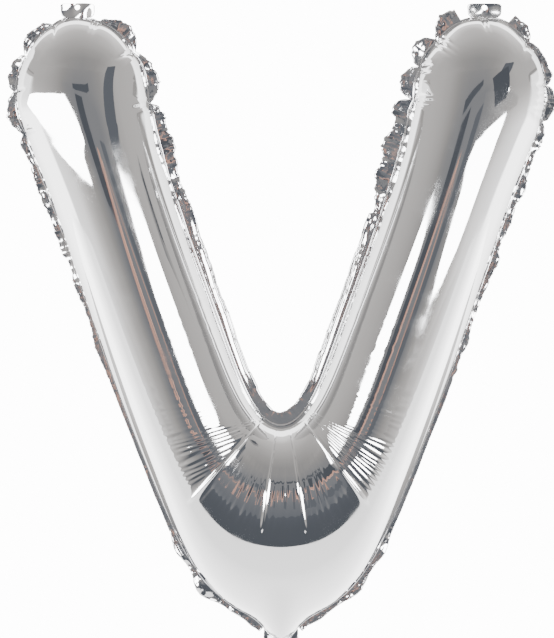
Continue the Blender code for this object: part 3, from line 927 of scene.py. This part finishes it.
pressed_foil = foil_finish("pressed_foil", crinkle=0.00005, crinkle_size=0.005, roughness=0.07)
margin, row, column = grid_piece("foil_margin", strip)
hold_and_buckle(margin, column == 0, flat_strip[row, column], BUCKLE_FRAMES)
give_wall(margin, MARGIN_FILM, 0.0)
margin.data.materials.append(pressed_foil)
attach(margin, "root")
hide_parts("welded_margin")


# The two hanging tabs: flaps of the same fused film on the arms' tops, each with a punched hole for
# the ribbon. The film is limp there and crumples, which a cloth simulation gives it.
TAB_TOP = 0.0025  # above the hole's centre, which lies at z = 0
TAB_FOOT = 0.0065  # below it
TAB_CORNER = 4  # the higher, the squarer
TAB_HOLE = 0.0015  # radius
TAB_RINGS = 16
TAB_SPOKES = 96
TAB_SLACK = 1.06  # its uncut size, as a share of the size that it is pressed into
TAB_HELD = 0.0050  # how far below the hole's centre the margin holds it
TAB_WAVES = 6
TAB_WAVE_DEPTH = 0.0005
TAB_FRAMES = 30


def tab_outline(turn):
    """How far the tab's edge lies from its hole in a direction, for a tab with rounded corners."""
    across_x = math.sin(turn)
    up = math.cos(turn)
    half = TAB_WIDTH / 2
    height = TAB_TOP if up > 0 else TAB_FOOT
    return (abs(across_x / half) ** TAB_CORNER + abs(up / height) ** TAB_CORNER) ** (-1 / TAB_CORNER)


def hanging_tab(name, side, node, seed):
    """One tab: a flat ring of film round its hole, which buckles above the margin that holds it."""
    rings = np.linspace(0.0, 1.0, TAB_RINGS + 1)
    turns = np.linspace(0.0, 2 * math.pi, TAB_SPOKES + 1)
    reach = np.array([tab_outline(turn) for turn in turns])
    radius = TAB_HOLE + (reach[:, None] - TAB_HOLE) * rings
    points = np.zeros((TAB_SPOKES + 1, TAB_RINGS + 1, 3))
    points[..., 0] = side * TAB_X + radius * np.sin(turns)[:, None]
    points[..., 2] = radius * np.cos(turns)[:, None]
    flat = points.copy()
    flat[..., 0] = side * TAB_X + (flat[..., 0] - side * TAB_X) * TAB_SLACK
    flat[..., 2] *= TAB_SLACK
    shake = np.random.default_rng(seed)
    for _ in range(TAB_WAVES):
        aside, up, start = shake.normal(size=3)
        phase = 160 * aside * points[..., 0] + 160 * up * points[..., 2] + 9 * start
        points[..., 1] += TAB_WAVE_DEPTH * np.sin(phase)
    tab, row, column = grid_piece(name, points)
    held = points[row, column, 2] < -TAB_HELD
    hold_and_buckle(tab, held, flat[row, column], TAB_FRAMES)
    close_doubles(tab)
    give_wall(tab, MARGIN_FILM, 0.0)
    tab.data.materials.append(pressed_foil)
    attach(tab, "root")
    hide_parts(node)


hanging_tab("tab_left", -1, "hanging_tab_left", 3)
hanging_tab("tab_right", 1, "hanging_tab_right", 5)


# The inflation tail: a flat sleeve of the two films, welded along both sides and open at its lower
# end. The filling channel between the welds stands a little open, and the limp film is wrinkled.
TAIL_TOP = -0.3660
TAIL_LENGTH = 0.0423
CHANNEL_WIDTH = 0.0160
TAIL_OPEN = 0.0011  # how far each film stands out over the channel
FILMS_APART = 0.00012  # how far each film lies from the middle beside it
TAIL_LAP = 0.0002  # how far below the weld the sleeve begins
TAIL_WRINKLE = 0.0005
TAIL_GATHER = 0.0007
TAIL_ROWS = 88
TAIL_COLUMNS = 60
FOOT_ROWS = 60  # rows of the sheets to each side of the letter's middle that the sleeve's root follows


def tail_half(facing):
    """The points of the sleeve's front film or back film."""
    down = np.linspace(0.0, 1.0, TAIL_ROWS + 1)[:, None]
    narrow = TAIL_ROOT / TAIL_WIDTH + (1 - TAIL_ROOT / TAIL_WIDTH) * between(down, 0.08, 0.40)
    x = np.linspace(-TAIL_WIDTH / 2, TAIL_WIDTH / 2, TAIL_COLUMNS + 1)[None, :] * narrow
    foot = front_points[arm_rows - FOOT_ROWS:arm_rows + FOOT_ROWS + 1, 0]
    foot_line = np.interp(x[0], foot[:, 0], foot[:, 2])[None, :]
    z = foot_line - TAIL_LAP + (TAIL_TOP - TAIL_LENGTH - foot_line) * down
    bulge = np.clip(1 - (np.abs(x / narrow) / (CHANNEL_WIDTH / 2)) ** 2, 0.0, 1.0) ** 0.7
    wrinkle = TAIL_WRINKLE * np.sin(420 * x + 3 * np.sin(9 * down) + 2) * np.sin(math.pi * down)
    wrinkle = wrinkle + TAIL_GATHER * np.sin(180 * x + 14 * down) * between(down, 0.0, 0.3)
    points = np.zeros((TAIL_ROWS + 1, TAIL_COLUMNS + 1, 3))
    points[..., 0] = x
    points[..., 1] = wrinkle + facing * (FILMS_APART + TAIL_OPEN * bulge)
    points[..., 2] = z
    return points


sleeve = np.concatenate([tail_half(-1), tail_half(1)[:, ::-1], tail_half(-1)[:, :1]], axis=1)
tail = grid_piece("foil_tail", sleeve)[0]
close_doubles(tail)
flip(tail)
give_wall(tail, MARGIN_FILM, -1.0)
tail.data.materials.append(pressed_foil)
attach(tail, "root")
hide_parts("inflation_tail")


# The valve film: a flat tube of clear plastic inside the tail, which shows below it. It closes by
# itself when the filling straw comes out.
FILM_OUT = 0.0070  # how far it shows below the tail
FILM_WIDTH = 0.0154
FILM_WALL = 0.0002
FILM_WAVE = 0.0007
FILM_ROWS = 60
FILM_COLUMNS = 24
PLASTIC_COLOUR = (0.93, 0.95, 0.96, 1.0)

film_points = np.zeros((FILM_ROWS + 1, FILM_COLUMNS + 1, 3))
film_points[..., 0] = np.linspace(-FILM_WIDTH / 2, FILM_WIDTH / 2, FILM_COLUMNS + 1)[None, :]
film_points[..., 2] = np.linspace(TAIL_TOP, TAIL_TOP - TAIL_LENGTH - FILM_OUT, FILM_ROWS + 1)[:, None]
film_phase = 180 * film_points[..., 0] - 320 * (film_points[..., 2] - TAIL_TOP)
film_points[..., 1] = FILM_WAVE * np.sin(film_phase)
film = grid_piece("valve_film_tube", film_points)[0]
give_wall(film, FILM_WALL, 0.0)
clear_plastic = bpy.data.materials.new("clear_valve_plastic")
clear_plastic.use_nodes = True
shader = clear_plastic.node_tree.nodes["Principled BSDF"]
shader.inputs["Base Color"].default_value = PLASTIC_COLOUR
shader.inputs["Roughness"].default_value = 0.12
shader.inputs["Transmission Weight"].default_value = 0.85
film.data.materials.append(clear_plastic)
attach(film, "root")
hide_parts("valve_film")
